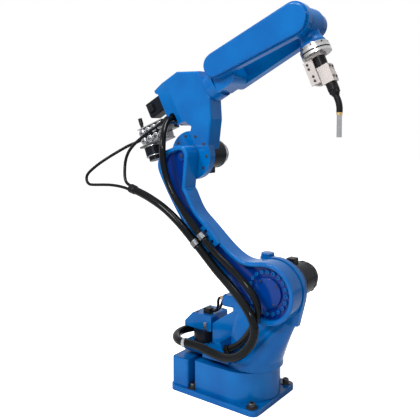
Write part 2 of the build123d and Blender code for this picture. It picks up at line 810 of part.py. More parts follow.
# Forearm: round neck and yoke, the drive leg with its cover on the near side, the support leg
yoke_start = elbow_front + running_gap + neck_length
yoke_end = yoke_start + yoke_length
with BuildPart() as forearm_neck:
    with BuildSketch(fore_section(elbow_front + running_gap)):
        Circle(neck_radius)
    extrude(amount=neck_length)
    with BuildSketch(fore_plane.offset(housing_near)):
        with Locations(((yoke_start + yoke_end) / 2, (yoke_top - yoke_bottom) / 2)):
            Rectangle(yoke_length, yoke_top + yoke_bottom)
    extrude(amount=-(housing_near + support_inner))
    chin_place = fore_plane.from_local_coords((yoke_end, -yoke_bottom))
    fillet(forearm_neck.edges().filter_by(Axis.Y).sort_by_distance(chin_place)[0], yoke_chin_radius)
finish(forearm_neck, "forearm_neck")


def drive_outline(inset):
    """Drive leg seen from the near side: two round ends and their common tangents."""
    with BuildSketch(mode=Mode.PRIVATE) as outline:
        with Locations((elbow_front + drive_root_along, drive_root_up)):
            Circle(drive_root_radius - inset)
        with Locations((forearm_length, drive_end_up)):
            Circle(drive_end_radius - inset)
        make_hull()
    return outline.sketch


with BuildPart() as drive_leg:
    with BuildSketch(fore_plane.offset(housing_near)):
        add(drive_outline(0))
    extrude(amount=drive_depth)
finish(drive_leg, "drive_leg")

with BuildPart() as drive_cover:
    with BuildSketch(fore_plane.offset(housing_near + drive_depth)):
        add(drive_outline(cover_inset))
    extrude(amount=cover_depth)
    fillet(drive_cover.faces().sort_by(Axis.Y)[0].edges(), leg_edge_radius)
finish(drive_cover, "drive_cover")

with BuildPart() as support_leg:
    with BuildSketch(fore_plane.offset(-support_inner)):
        with Locations((elbow_front + support_root_along, -support_root_drop)):
            Circle(support_root_radius)
        with Locations((forearm_length, 0)):
            Circle(support_end_radius)
        make_hull()
    extrude(amount=-support_depth)
    fillet(support_leg.faces().sort_by(Axis.Y)[-1].edges(), leg_edge_radius)
finish(support_leg, "support_leg")

# Wrist: a round body between the legs, on two hubs, with a nose along the tool axis
with BuildPart() as wrist_housing:
    with BuildSketch(tool_plane.offset(housing_near - side_clearance)):
        Circle(wrist_radius)
    extrude(amount=-(housing_near + support_inner - 2 * side_clearance))
    with BuildSketch(tool_plane.offset(housing_near - running_gap)):
        Circle(wrist_hub_radius)
    extrude(amount=-(housing_near + support_inner - 2 * running_gap))
    with BuildSketch(tool_section(0)):
        Circle(wrist_nose_radius)
    extrude(amount=wrist_nose_end)
    with BuildSketch(tool_section(wrist_nose_end - wrist_collar_width - wrist_flare)):
        Circle(wrist_nose_radius)
    with BuildSketch(tool_section(wrist_nose_end - wrist_collar_width)):
        Circle(wrist_collar_radius)
    loft()
    with BuildSketch(tool_section(wrist_nose_end - wrist_collar_width)):
        Circle(wrist_collar_radius)
    extrude(amount=wrist_collar_width)
finish(wrist_housing, "wrist_housing")

# Tool flange and the shock sensor below it
with BuildPart() as tool_flange:
    with BuildSketch(tool_section(wrist_nose_end + running_gap)):
        Circle(flange_radius)
    extrude(amount=flange_offset - wrist_nose_end - running_gap)
finish(tool_flange, "tool_flange")

with BuildPart() as shock_sensor:
    with BuildSketch(tool_section(flange_offset)):
        Circle(sensor_radius)
    extrude(amount=sensor_length)
    with BuildSketch(tool_section(flange_offset + (sensor_length - sensor_groove) / 2)):
        Circle(sensor_radius + overrun)
        Circle(sensor_radius - sensor_groove, mode=Mode.SUBTRACT)
    extrude(amount=sensor_groove, mode=Mode.SUBTRACT)
finish(shock_sensor, "shock_sensor")

# Angle bracket, adapter and clamp block that carry the torch
bracket_seat = flange_offset + sensor_length
with BuildPart() as torch_bracket:
    with BuildSketch(tool_plane.offset(torch_bracket_width / 2)):
        with BuildLine():
            Polyline((bracket_seat, -torch_bracket_rear), (bracket_seat, adapter_radius),
                     (bracket_seat + bracket_foot_thickness, adapter_radius),
                     (bracket_seat + bracket_foot_thickness, bracket_foot_thickness - torch_bracket_rear),
                     (bracket_seat + torch_bracket_drop, bracket_foot_thickness - torch_bracket_rear),
                     (bracket_seat + torch_bracket_drop, -torch_bracket_rear), close=True)
        make_face()
    extrude(amount=-torch_bracket_width)
finish(torch_bracket, "torch_bracket")

adapter_seat = bracket_seat + bracket_foot_thickness
with BuildPart() as torch_adapter:
    with BuildSketch(tool_section(adapter_seat)):
        Circle(adapter_radius)
    extrude(amount=adapter_length)
finish(torch_adapter, "torch_adapter")

block_start = adapter_seat + adapter_length
block_end = block_start + torch_block_length
lug_depth = torch_bracket_rear - bracket_foot_thickness + torch_offset
with BuildPart() as torch_block:
    with BuildSketch(tool_plane.offset(torch_block_size / 2)):
        with Locations(((block_start + block_end) / 2, torch_offset)):
            Rectangle(torch_block_length, torch_block_size)
    extrude(amount=-torch_block_size)
    with BuildSketch(tool_plane.offset(torch_block_lug / 2)):
        with Locations((block_start + torch_block_lug, torch_offset - lug_depth / 2)):
            Rectangle(torch_block_lug, lug_depth)
    extrude(amount=-torch_block_lug)
finish(torch_block, "torch_block")

# Torch: body out of the block, a neck bent towards the vertical, insulating ring and gas nozzle
torch_line = wrist_point + tool_up * torch_offset
body_end = torch_line + tool_along * (block_end + torch_body_length)
bend_point = body_end + tool_along * torch_bend_run
neck_end = bend_point - Vector(0, 0, torch_drop)
with BuildPart() as torch_body:
    with BuildSketch(Plane(origin=torch_line + tool_along * block_end, z_dir=tool_along)):
        Circle(torch_body_radius)
    extrude(amount=torch_body_length)
finish(torch_body, "torch_body")

with BuildPart() as torch_neck:
    with BuildLine() as neck_path:
        FilletPolyline(body_end, bend_point, neck_end, radius=torch_bend_radius)
    with BuildSketch(Plane(origin=body_end, z_dir=tool_along)):
        Circle(torch_neck_radius)
    sweep(path=neck_path.wires()[0])
finish(torch_neck, "torch_neck")

with BuildPart() as nozzle_ring:
    with BuildSketch(Plane(origin=neck_end, z_dir=(0, 0, -1))):
        Circle(ring_radius)
    extrude(amount=ring_length)
finish(nozzle_ring, "nozzle_ring")

with BuildPart() as nozzle:
    nozzle_plane = Plane(origin=neck_end - Vector(0, 0, ring_length), z_dir=(0, 0, -1))
    with BuildSketch(nozzle_plane):
        Circle(nozzle_radius)
    extrude(amount=nozzle_length)
    with BuildSketch(nozzle_plane.offset(nozzle_length)):
        Circle(nozzle_bore / 2)
    extrude(amount=-nozzle_bore_depth, mode=Mode.SUBTRACT)
finish(nozzle, "nozzle")

# Routes of the hoses and cables between their ends, point by point
conduit_low_route = [(-213.8, 47, 203), (-265.3, 9, 203), (-285, -52, 203), (-265.3, -113.5, 203),
                     (-213.8, -151, 203), (-155, -153, 209), (-98, -157, 208), (-40, -161, 199),
                     (14, -166, 197), (64, -172, 213), (103, -175, 242), (134, -176, 281),
                     (149, -176, 326), (138, -174, 370), (105, -167, 406), (62, -159, 441),
                     (16, -153, 474), (-34, -151, 511)]
conduit_high_route = [(-237, -149, 687), (-297, -145, 722), (-362, -140, 748),
                      (-413, -136, 765), (-462, -132, 777)]
supply_low_route = [(52, -118, 248), (80, -126, 279), (108, -136, 316), (133, -143, 356), (143, -144, 398),
                    (129, -146, 440), (97, -148, 476), (54, -148, 509), (9, -148, 541)]
supply_high_route = [(-204, -147, 728), (-247, -146, 778), (-280, -145, 836), (-297, -146, 898),
                     (-303, -143, 957), (-316, -122, 1006), (-331, -90, 1046)]
cable_long_route = [(-560, -125, 786), (-612, -123, 788), (-664, -121, 785),
                    (-716, -119, 781), (-757, -117, 779), (-778, -114, 796), (-779, -110, 821),
                    (-750, -106, 846), (-710, -94, 876), (-674, -70, 904), (-642, -38, 931), (-611, -8, 955)]
cable_short_route = [(-531, -121, 820), (-541, -112, 850), (-547, -102, 890),
                     (-540, -92, 928), (-515, -82, 962), (-476, -69, 995), (-440, -52, 1026)]


def corner_radii(points):
    """As large an arc at every corner as its two runs allow."""
    radii = []
    for before, corner, after in zip(points, points[1:], points[2:]):
        run_in = corner - before
        run_out = after - corner
        turn = radians(run_in.get_angle(run_out))
        radii.append(arc_share * min(run_in.length, run_out.length) / tan(turn / 2))
    return radii


def tube(points, diameter, name):
    """Solid tube along straight runs joined by tangent arcs."""
    points = [Vector(point) for point in points]
    radii = corner_radii(points)
    with BuildPart() as run:
        with BuildLine() as path:
            FilletPolyline(*points, radius=radii)
        with BuildSketch(Plane(origin=points[0], z_dir=points[1] - points[0])):
            Circle(diameter / 2)
        sweep(path=path.wires()[0])
    length = path.wires()[0].length
    ratio = run.part.volume / (length * pi * diameter ** 2 / 4)
    print(f"{name}: length {length:.0f}, volume ratio {ratio:.4f}, radii {[round(r) for r in radii]}")
    print("   ", [tuple(round(c, 1) for c in point) for point in points])
    finish(run, name)


def gland(origin, direction, hose_diameter, name):
    """Gland where a hose comes out: a hexagon on its seat and a round nut. Returns the nut's end."""
    seat = Plane(origin=origin, z_dir=direction)
    with BuildPart() as nut:
        with BuildSketch(seat):
            RegularPolygon(hose_diameter / 2 + gland_wall, 6)
        extrude(amount=gland_length / 2)
        with BuildSketch(seat.offset(gland_length / 2)):
            Circle(hose_diameter / 2 + gland_wall / 2)
        extrude(amount=gland_length / 2)
    finish(nut, name)
    return origin + direction * gland_length


# Where the hoses meet the clamp: both pass it side by side, square to its faces
clamp_along = level_direction(lower_arm_angle + right_angle + clamp_angle)
clamp_across = level_direction(lower_arm_angle + clamp_angle)
clamp_place = arm_point((clamp_front_share, clamp_along_share))
clamp_middle = shoulder_point + arm_front * clamp_place[0] + arm_along * clamp_place[1]


def clamp_exit(across, end, hose_diameter):
    """Point on the clamp's lower (-1) or upper (+1) face where a hose is held."""
    depth = clamp_seat + clamp_height / 2 - (conduit_diameter - hose_diameter) / 2
    middle = clamp_middle + clamp_across * across * clamp_width / 4
    return middle + near_side * depth + clamp_along * end * clamp_length / 2


# Conduit from the turret's rear boss, round the swivel motor and up to the clamp, then on to its free end
conduit_boss = Vector(-lead_boss_reach, shelf_far - lead_boss_width / 2, conduit_gland_height)
conduit_start = gland(conduit_boss, Vector(-1, 0, 0), conduit_diameter, "conduit_gland")
conduit_entry = clamp_exit(-1, -1, conduit_diameter)
conduit_exit = clamp_exit(-1, 1, conduit_diameter)
tube([conduit_start, *conduit_low_route, conduit_entry - clamp_along * clamp_lead, conduit_entry],
     conduit_diameter, "conduit_low")
tube([conduit_exit, conduit_exit + clamp_along * clamp_lead, *conduit_high_route],
     conduit_diameter, "conduit_high")

# Supply hose from the turret's near block to the clamp, then into the elbow's port
supply_out = level_direction(hose_block_angle)
supply_face = Vector(hose_block_front - (supply_gland_height - flare_start) * rake_slope,
                     supply_gland_inset - hose_block_near, supply_gland_height)
supply_start = gland(supply_face, supply_out, supply_diameter, "supply_gland")
port_floor = near_side * (housing_near - port_depth)
port_middle = roll_point - fore_along * port_along - fore_up * port_drop + port_floor
supply_end = gland(port_middle, near_side, supply_diameter, "port_gland")
supply_entry = clamp_exit(1, -1, supply_diameter)
supply_exit = clamp_exit(1, 1, supply_diameter)
tube([supply_start, supply_start + supply_out * gland_run, *supply_low_route,
      supply_entry - clamp_along * clamp_lead, supply_entry], supply_diameter, "supply_hose_low")
tube([supply_exit, supply_exit + clamp_along * clamp_lead, *supply_high_route,
      supply_end + near_side * gland_run, supply_end], supply_diameter, "supply_hose_high")

# Sleeve on the conduit's free end, where two thin cables come out
conduit_end = Vector(conduit_high_route[-1])
sleeve_axis = (conduit_end - Vector(conduit_high_route[-2])).normalized()
with BuildPart() as conduit_sleeve:
    with BuildSketch(Plane(origin=conduit_end, z_dir=sleeve_axis)):
        Circle(sleeve_radius)
    extrude(amount=sleeve_length)
finish(conduit_sleeve, "conduit_sleeve")

# Cables from the sleeve: the long one to the feeder's rear, the short one to the elbow's rear face
sleeve_end = conduit_end + sleeve_axis * sleeve_length
cable_side = near_side.cross(sleeve_axis).normalized() * cable_spread
feeder_inlet = feeder_origin - feeder_along * feeder_rear - feeder_up * feeder_inlet_drop
feeder_inlet = feeder_inlet - near_side * feeder_inlet_far
cable_long_end = gland(feeder_inlet, -feeder_along, cable_diameter, "feeder_gland")
elbow_inlet = roll_point - fore_along * elbow_rear - fore_up * elbow_inlet_drop
elbow_inlet = elbow_inlet + near_side * elbow_inlet_near
cable_short_end = gland(elbow_inlet, -fore_along, cable_diameter, "elbow_gland")
long_start = sleeve_end + cable_side
short_start = sleeve_end - cable_side
tube([long_start, long_start + sleeve_axis * cable_run, *cable_long_route,
      cable_long_end - feeder_along * cable_run, cable_long_end], cable_diameter, "feeder_cable_long")
tube([short_start, short_start + sleeve_axis * cable_run, *cable_short_route,
      cable_short_end - fore_along * cable_run, cable_short_end], cable_diameter, "feeder_cable_short")
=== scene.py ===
"""Looks of the arc welding robot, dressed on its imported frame."""

import bpy
import numpy as np
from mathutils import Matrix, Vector


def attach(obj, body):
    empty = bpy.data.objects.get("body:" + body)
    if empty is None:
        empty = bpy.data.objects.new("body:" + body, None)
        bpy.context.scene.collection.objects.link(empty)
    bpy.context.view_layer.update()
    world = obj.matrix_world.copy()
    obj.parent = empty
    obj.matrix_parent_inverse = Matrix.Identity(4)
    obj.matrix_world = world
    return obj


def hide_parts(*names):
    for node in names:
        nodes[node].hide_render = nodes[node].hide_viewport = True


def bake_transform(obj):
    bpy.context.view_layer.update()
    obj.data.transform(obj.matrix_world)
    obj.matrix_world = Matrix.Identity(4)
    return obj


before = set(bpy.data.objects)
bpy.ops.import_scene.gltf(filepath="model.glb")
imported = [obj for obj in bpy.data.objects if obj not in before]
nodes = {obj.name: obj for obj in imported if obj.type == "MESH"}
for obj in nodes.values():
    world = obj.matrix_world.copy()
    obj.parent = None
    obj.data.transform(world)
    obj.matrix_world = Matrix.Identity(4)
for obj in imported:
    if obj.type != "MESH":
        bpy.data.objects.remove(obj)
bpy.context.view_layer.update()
scene = bpy.context.scene

# Studio floor: a seamless board, pale and matt, far wider than the view.
# It glows towards white for the camera alone, so the glow lights nothing and the robot's soft shadow stays.
floor_half = 14.0
board_colour = (0.92, 0.92, 0.92, 1)
board_roughness = 0.9
board_glow = 0.85
white = (1, 1, 1, 1)


def feed(node, sockets):
    """Feed each named input socket of a node, from another node's output or with a constant."""
    for socket, source in sockets.items():
        if isinstance(source, bpy.types.NodeSocket):
            node.id_data.links.new(source, node.inputs[socket])
        else:
            node.inputs[socket].default_value = source
    return node


def math_node(graph, operation, first, second):
    """Math node of one operation on two sources, given as its output."""
    node = graph.new("ShaderNodeMath")
    node.operation = operation
    return feed(node, {0: first, 1: second}).outputs["Value"]


floor_corners = floor_half * np.array([(-1, -1, 0), (1, -1, 0), (1, 1, 0), (-1, 1, 0)])
floor_mesh = bpy.data.meshes.new("studio_floor")
floor_mesh.from_pydata(floor_corners.tolist(), [], [(0, 1, 2, 3)])
floor = bpy.data.objects.new("studio_floor", floor_mesh)
scene.collection.objects.link(floor)
board = bpy.data.materials.new("studio_board")
board.use_nodes = True
board_graph = board.node_tree.nodes
board_ray = board_graph.new("ShaderNodeLightPath")
board_lift = math_node(board_graph, "MULTIPLY", board_ray.outputs["Is Camera Ray"], board_glow)
feed(board_graph["Principled BSDF"], {"Base Color": board_colour, "Roughness": board_roughness,
                                      "Emission Color": white, "Emission Strength": board_lift})
floor_mesh.materials.append(board)

# Sky: plain white behind the robot, for the camera, for reflections and through clear things.
# To every other ray it is a weak and even fill light.
sky_fill = 0.12
sky_white = 1.0
sky = bpy.data.worlds.new("white_sky")
scene.world = sky
sky.use_nodes = True
sky_graph = sky.node_tree.nodes
sky_light = feed(sky_graph["Background"], {"Color": white, "Strength": sky_fill})
sky_seen = feed(sky_graph.new("ShaderNodeBackground"), {"Color": white, "Strength": sky_white})
sky_ray = sky_graph.new("ShaderNodeLightPath").outputs
sky_glossy = math_node(sky_graph, "MAXIMUM", sky_ray["Is Camera Ray"], sky_ray["Is Glossy Ray"])
sky_clear = math_node(sky_graph, "MAXIMUM", sky_glossy, sky_ray["Is Transmission Ray"])
sky_mix = feed(sky_graph.new("ShaderNodeMixShader"), {"Fac": sky_clear, 1: sky_light.outputs["Background"],
                                                      2: sky_seen.outputs["Background"]})
feed(sky_graph["World Output"], {"Surface": sky_mix.outputs["Shader"]})

# Lamps: three square softboxes, a large one to the camera's left, a small one behind it and one overhead.
# Each row gives a lamp's place, the point that it is aimed at, its side in metres and its power in watts.
for lamp_name, lamp_place, lamp_aim, lamp_side, lamp_power in (
    ("key_softbox", (-2.0, -4.4, 4.2), (0, 0, 0.5), 1.7, 270),
    ("front_softbox", (1.3, -3.6, 3.0), (0, 0, 0.4), 0.5, 75),
    ("top_softbox", (0.4, -0.2, 4.6), (0, 0, 0.6), 1.4, 150),
):
    lamp = bpy.data.lights.new(lamp_name, "AREA")
    lamp.size = lamp_side
    lamp.energy = lamp_power
    lamp_way = Vector(lamp_aim) - Vector(lamp_place)
    lamp_object = bpy.data.objects.new(lamp_name, lamp)
    lamp_object.location = lamp_place
    lamp_object.rotation_euler = lamp_way.to_track_quat("-Z", "Y").to_euler()
    scene.collection.objects.link(lamp_object)

# Camera: at the photograph's viewing point, in front of the robot and to its right.
# Its place, turn, dip, lens and shift were fitted to the distances between the robot's axes.
camera_place = (1.1924, -1.8466, 1.0592)
camera_azimuth = np.radians(36.55)
camera_dip = np.radians(4.0)
camera_level = np.cos(camera_dip)
camera_way = Vector((-np.sin(camera_azimuth) * camera_level, np.cos(camera_azimuth) * camera_level,
                     -np.sin(camera_dip)))
camera = bpy.data.cameras.new("photo_camera")
camera.lens = 49.55
camera.sensor_width = 36.0
camera.sensor_height = 36.0
camera.shift_y = -0.115
camera_object = bpy.data.objects.new("photo_camera", camera)
camera_object.location = camera_place
camera_object.rotation_euler = camera_way.to_track_quat("-Z", "Y").to_euler()
scene.collection.objects.link(camera_object)
scene.camera = camera_object
scene.view_settings.view_transform = "Standard"

# Base: one casting with its foot plate, sprayed with glossy blue two-pack paint over the sand-cast skin.
# The paint is even, a shade deeper in patches, with the faint orange peel of a sprayed coat.
blue, deep_blue = (0.0, 0.116, 0.37), (0.0, 0.082, 0.30)


def two_shades(shader, noise, colour, deep_colour, spread):
    """Base colour: a ramp from the deep shade to the pale one, over a spread about the noise's middle."""
    ramp = feed(shader.id_data.nodes.new("ShaderNodeValToRGB"), {"Fac": noise})
    low_stop, high_stop = ramp.color_ramp.elements
    low_stop.position = 0.5 - spread
    low_stop.color = (*deep_colour, 1)
    high_stop.position = 0.5 + spread
    high_stop.color = (*colour, 1)
    feed(shader, {"Base Color": ramp.outputs["Color"]})


def relief(shader, noise, roughness, swing, strength, depth):
    """Roughness that swings about its mean, and a bump of the given depth, both from one noise."""
    graph = shader.id_data.nodes
    worn = feed(graph.new("ShaderNodeMapRange"), {"Value": noise, "To Min": roughness * (1 - swing),
                                                  "To Max": roughness * (1 + swing)})
    bump = feed(graph.new("ShaderNodeBump"), {"Height": noise, "Strength": strength, "Distance": depth})
    feed(shader, {"Roughness": worn.outputs["Result"], "Normal": bump.outputs["Normal"]})


def coated(name, colour, deep_colour, roughness, peel, coat=0.0, shine=0.5):
    """Sprayed or moulded finish: two shades mixed by slow noise, roughness and bump from fine noise."""
    finish = bpy.data.materials.new(name)
    finish.use_nodes = True
    graph = finish.node_tree.nodes
    place = graph.new("ShaderNodeTexCoord").outputs["Object"]
    patches = feed(graph.new("ShaderNodeTexNoise"), {"Vector": place, "Scale": 7.0, "Detail": 3.0})
    skin = feed(graph.new("ShaderNodeTexNoise"), {"Vector": place, "Scale": 260.0, "Detail": 4.0})
    shader = graph["Principled BSDF"]
    two_shades(shader, patches.outputs["Fac"], colour, deep_colour, spread=0.15)
    relief(shader, skin.outputs["Fac"], roughness, swing=0.2, strength=peel, depth=0.0004)
    feed(shader, {"Specular IOR Level": shine, "Coat Weight": coat, "Coat Roughness": 0.06})
    return finish


def dress(finish, *names):
    """Give CAD nodes one finish."""
    for name in names:
        nodes[name].data.materials.clear()
        nodes[name].data.materials.append(finish)


blue_paint = coated("blue_paint", blue, deep_blue, roughness=0.16, peel=0.02, coat=0.10, shine=0.12)
dress(blue_paint, "base_casting")

# Floor bolts: four socket-head bolts in black oxide on hardened washers, through the foot plate's corners.
# Bolts, screws and nuts are turned and broached, so each is a lathe piece with a six-sided socket.
black_oxide = coated("black_oxide", (0.020, 0.020, 0.021), (0.012, 0.012, 0.013), roughness=0.36, peel=0.1)
foot_top = 0.022
bolt_rows, bolt_sides = (0.105, -0.165), (-0.125, 0.125)
upwards = (0, 0, 1)


def make_piece(name, places, faces, finish):
    """Object at the origin whose mesh holds the given places and faces, in one finish and material slot."""
    mesh = bpy.data.meshes.new(name)
    mesh.from_pydata(places.reshape(-1, 3).tolist(), [], faces)
    mesh.materials.append(finish)
    piece = bpy.data.objects.new(name, mesh)
    scene.collection.objects.link(piece)
    return piece


def ring_faces(rows, columns, count=1):
    """Faces of count tubes of rows rings each: quads between neighbour rings and a cap on both ends."""
    row, column = np.meshgrid(np.arange(rows - 1) * columns, np.arange(columns), indexing="ij")
    after = (column + 1) % columns
    quads = np.stack([row + column, row + after, row + columns + after, row + columns + column], -1)
    caps = np.stack([np.arange(columns)[::-1], np.arange(columns) + (rows - 1) * columns])
    first = np.arange(count)[:, None, None] * rows * columns
    walls = (first + quads.reshape(-1, 4)).reshape(-1, 4)
    return walls.tolist() + (first + caps).reshape(-1, columns).tolist()


def lathe(name, feet, axis, profile, finish, body=None, columns=24):
    """Lathe pieces: rows of (run, radius, sides) turned about the axis through each foot, ends closed.

    A row is round for no sides, a hexagon for six, and has that many low teeth for more."""
    seam, tooth_depth, hexagon = (0.31, 0.83, 0.47), 0.045, 6
    feet = np.atleast_2d(np.array(feet, float))
    axis = np.array(axis, float) / np.linalg.norm(axis)
    side = np.cross(axis, seam)
    side /= np.linalg.norm(side)
    other = np.cross(axis, side)
    turn = np.linspace(0, 2 * np.pi, columns, endpoint=False)
    ring = np.cos(turn)[:, None] * side + np.sin(turn)[:, None] * other
    run, radius, sides = np.array(profile, float).T
    half_side = np.pi / hexagon
    flats = np.cos(half_side) / np.cos(turn % (2 * half_side) - half_side)
    teeth = 1 - tooth_depth * (1 + np.cos(sides[:, None] * turn))
    shape = np.where(sides[:, None] == hexagon, flats, np.where(sides[:, None] > hexagon, teeth, 1.0))
    skin = feet[:, None, None] + run[:, None, None] * axis + (radius[:, None] * shape)[..., None] * ring
    piece = make_piece(name, skin, ring_faces(len(run), columns, len(feet)), finish)
    piece.data.shade_smooth()
    piece.data.set_sharp_from_angle(angle=np.radians(32))
    if body:
        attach(piece, body)
    return piece


def socket_head(radius, height, washer=0.0):
    """Profile of a socket-head screw on its washer: a round head, its edge broken, and a hexagon socket."""
    top, edge, socket_floor = washer + height, washer + height * 0.85, washer + height * 0.45
    top_radius, socket, washer_radius = radius * 0.85, radius * 0.58, radius * 1.75
    base = [(0, washer_radius, 0), (washer, washer_radius, 0)] if washer else []
    return base + [(washer, radius, 0), (edge, radius, 0), (top, top_radius, 0), (top, socket, 6),
                   (socket_floor, socket, 6)]


lathe("floor_bolts", [(x, y, foot_top) for x in bolt_rows for y in bolt_sides], upwards,
      socket_head(radius=0.0125, height=0.016, washer=0.003), black_oxide, "base")

# Cable inlets at the rear of the base: threaded collars moulded in black nylon, with a fine spark finish.
# A knurled lock ring is screwed on each of them.
black_nylon = coated("black_nylon", (0.008, 0.008, 0.010), (0.005, 0.005, 0.006), roughness=0.34, peel=0.3,
                     shine=0.12)
dress(black_nylon, "base_inlets")
rearwards = (-1, 0, 0)
inlet_feet = [(-0.2575, -0.045, 0.072), (-0.2575, 0.045, 0.072)]
lock_ring = [(0.0, 0.0275, 0), (0.0005, 0.0285, 30), (0.006, 0.0285, 30), (0.0065, 0.0275, 0),
             (0.0065, 0.0235, 0), (0.0, 0.0235, 0)]
lathe("inlet_lock_rings", inlet_feet, rearwards, lock_ring, black_nylon, "base", columns=90)

# Turret: one casting from the round swivel up to the flat shoulder, in the base's blue paint.
# A stop post stands on its pad. The shoulder's reducer, a turned steel ring with fine tool marks, is bolted
# between the turret and the lower arm.
dress(blue_paint, "turret_casting", "stop_post")


def machined(name, colour, deep_colour, roughness, grain):
    """Bare metal: two greys mixed by stretched noise, with the same noise in the roughness and the bump."""
    finish = bpy.data.materials.new(name)
    finish.use_nodes = True
    graph = finish.node_tree.nodes
    place = graph.new("ShaderNodeTexCoord").outputs["Object"]
    stretch = feed(graph.new("ShaderNodeMapping"), {"Vector": place, "Scale": grain}).outputs["Vector"]
    marks = feed(graph.new("ShaderNodeTexNoise"), {"Vector": stretch, "Scale": 90.0, "Detail": 4.0})
    shader = feed(graph["Principled BSDF"], {"Metallic": 1.0})
    two_shades(shader, marks.outputs["Fac"], colour, deep_colour, spread=0.2)
    relief(shader, marks.outputs["Fac"], roughness, swing=0.3, strength=0.15, depth=0.0002)
    return finish


turned_steel = machined("turned_steel", (0.44, 0.45, 0.47), (0.36, 0.37, 0.39), roughness=0.24,
                        grain=(1, 3, 1))
dress(turned_steel, "shoulder_reducer")

# Shoulder motor on the turret's far side: a die-cast shell in satin black baked enamel.
# A ribbed end bell and its cap cover the encoder, and a nylon plug socket with rounded edges sits on top.
black_enamel = coated("black_enamel", (0.006, 0.008, 0.013), (0.004, 0.005, 0.008), roughness=0.26, peel=0.2,
                      shine=0.09)
dress(black_enamel, "shoulder_motor", "shoulder_motor_cap")
shoulder = np.array((0.155, 0.0, 0.45))
forwards, far_side = (1, 0, 0), (0, 1, 0)
motor_bell = [(0, 0.0632, 0), (0.001, 0.0655, 16), (0.014, 0.0655, 16), (0.017, 0.0632, 16),
              (0.017, 0.056, 0)]
bell_cap = [(0, 0.0545, 0), (0.0005, 0.0575, 12), (0.012, 0.0565, 12), (0.014, 0.0545, 0)]
lathe("shoulder_motor_bell", shoulder + (0, 0.152, 0), far_side, motor_bell, black_enamel,
      "turret", columns=96)
lathe("shoulder_cap_ring", shoulder + (0, 0.1675, 0), far_side, bell_cap, black_enamel,
      "turret", columns=96)


def block(name, centre, first, second, sizes, edge, finish, body):
    """Rectangular block about its centre, its edges rounded.

    Its sides run along two square directions and along their cross product."""
    first = np.array(first, float) / np.linalg.norm(first)
    second = np.array(second, float) / np.linalg.norm(second)
    ways = np.array([first, second, np.cross(first, second)])
    corners = np.indices((2, 2, 2)).reshape(3, -1).T - 0.5
    faces = [(0, 1, 3, 2), (4, 6, 7, 5), (0, 4, 5, 1), (2, 3, 7, 6), (0, 2, 6, 4), (1, 5, 7, 3)]
    piece = make_piece(name, np.array(centre) + (corners * np.array(sizes)) @ ways, faces, finish)
    rounding = piece.modifiers.new("rounded_edges", "BEVEL")
    rounding.width = edge
    rounding.segments = 3
    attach(piece, body)


block("shoulder_motor_socket", shoulder + (-0.012, 0.1, 0.073), forwards, far_side,
      sizes=(0.034, 0.04, 0.028), edge=0.003, finish=black_nylon, body="turret")

# Swivel drive: a black motor under a sloped, blue painted housing on the turret's rear deck.
# A black plug sits on its top, a bright latch on its near side, and screws hold its cover.
dress(blue_paint, "swivel_housing")
dress(black_enamel, "swivel_motor")
block("swivel_plug", (-0.175, -0.012, 0.298), forwards, far_side,
      sizes=(0.032, 0.03, 0.022), edge=0.003, finish=black_nylon, body="turret")
block("swivel_latch", (-0.168, -0.0445, 0.243), forwards, far_side,
      sizes=(0.014, 0.004, 0.03), edge=0.0012, finish=turned_steel, body="turret")
cover_top = 0.2875
cover_rows, cover_sides = (-0.218, -0.152), (-0.03, 0.058)
lathe("swivel_cover_screws", [(x, y, cover_top) for x in cover_rows for y in cover_sides], upwards,
      socket_head(radius=0.0045, height=0.0035), black_oxide, "turret")

# Junction cover: a small blue painted box on the turret, screwed down at its corners.
# Two plugs in tan nylon, each a hexagon with a round neck, face the swivel drive. The conduit and the supply
# hose leave the turret through black nylon glands.
dress(blue_paint, "junction_cover")
dress(black_nylon, "conduit_gland", "supply_gland")
tan_nylon = coated("tan_nylon", (0.42, 0.25, 0.10), (0.33, 0.19, 0.07), roughness=0.45, peel=0.2)
junction_plug = [(0, 0.011, 6), (0.007, 0.011, 6), (0.007, 0.0085, 0), (0.016, 0.0085, 0), (0.018, 0.006, 0)]
lathe("junction_plugs", [(-0.0875, -0.022, 0.366), (-0.0875, 0.022, 0.352)], rearwards, junction_plug,
      tan_nylon, "turret")
junction_top = 0.3835
junction_rows, junction_sides = (-0.078, -0.042), (-0.031, 0.031)
lathe("junction_screws", [(x, y, junction_top) for x in junction_rows for y in junction_sides], upwards,
      socket_head(radius=0.004, height=0.003), black_oxide, "turret")

# Lower arm: a bowed channel casting in blue paint.
# On the channel's floor, on faces towards the near side, painted shade darkens the paint with depth below the
# rim.
channel_rim, channel_floor = -0.124, -0.100
near_facing = -0.9
# Painted shade: this dark blue is mixed into the channel's floor to stand for the rim's shade.
channel_painted_shade_blue = (0.001, 0.022, 0.17, 1)
channel_shaded_paint = coated("channel_shaded_paint", blue, deep_blue, roughness=0.16, peel=0.02, coat=0.10, shine=0.12)
channel_graph = channel_shaded_paint.node_tree.nodes
channel_place = channel_graph.new("ShaderNodeTexCoord").outputs
channel_axes = feed(channel_graph.new("ShaderNodeSeparateXYZ"), {"Vector": channel_place["Object"]})
channel_facing = feed(channel_graph.new("ShaderNodeSeparateXYZ"), {"Vector": channel_place["Normal"]})
channel_depth = feed(channel_graph.new("ShaderNodeMapRange"), {
    "Value": channel_axes.outputs["Y"], "From Min": channel_rim, "From Max": channel_floor})
channel_near = math_node(channel_graph, "LESS_THAN", channel_facing.outputs["Y"], near_facing)
channel_shade = math_node(channel_graph, "MULTIPLY", channel_depth.outputs["Result"], channel_near)
channel_shader = channel_graph["Principled BSDF"]
channel_mix = channel_graph.new("ShaderNodeMix")
channel_mix.data_type = "RGBA"
feed(channel_mix, {"Factor": channel_shade, "A": channel_shader.inputs["Base Color"].links[0].from_socket,
                   "B": channel_painted_shade_blue})
feed(channel_shader, {"Base Color": channel_mix.outputs["Result"]})
dress(channel_shaded_paint, "lower_arm_casting")
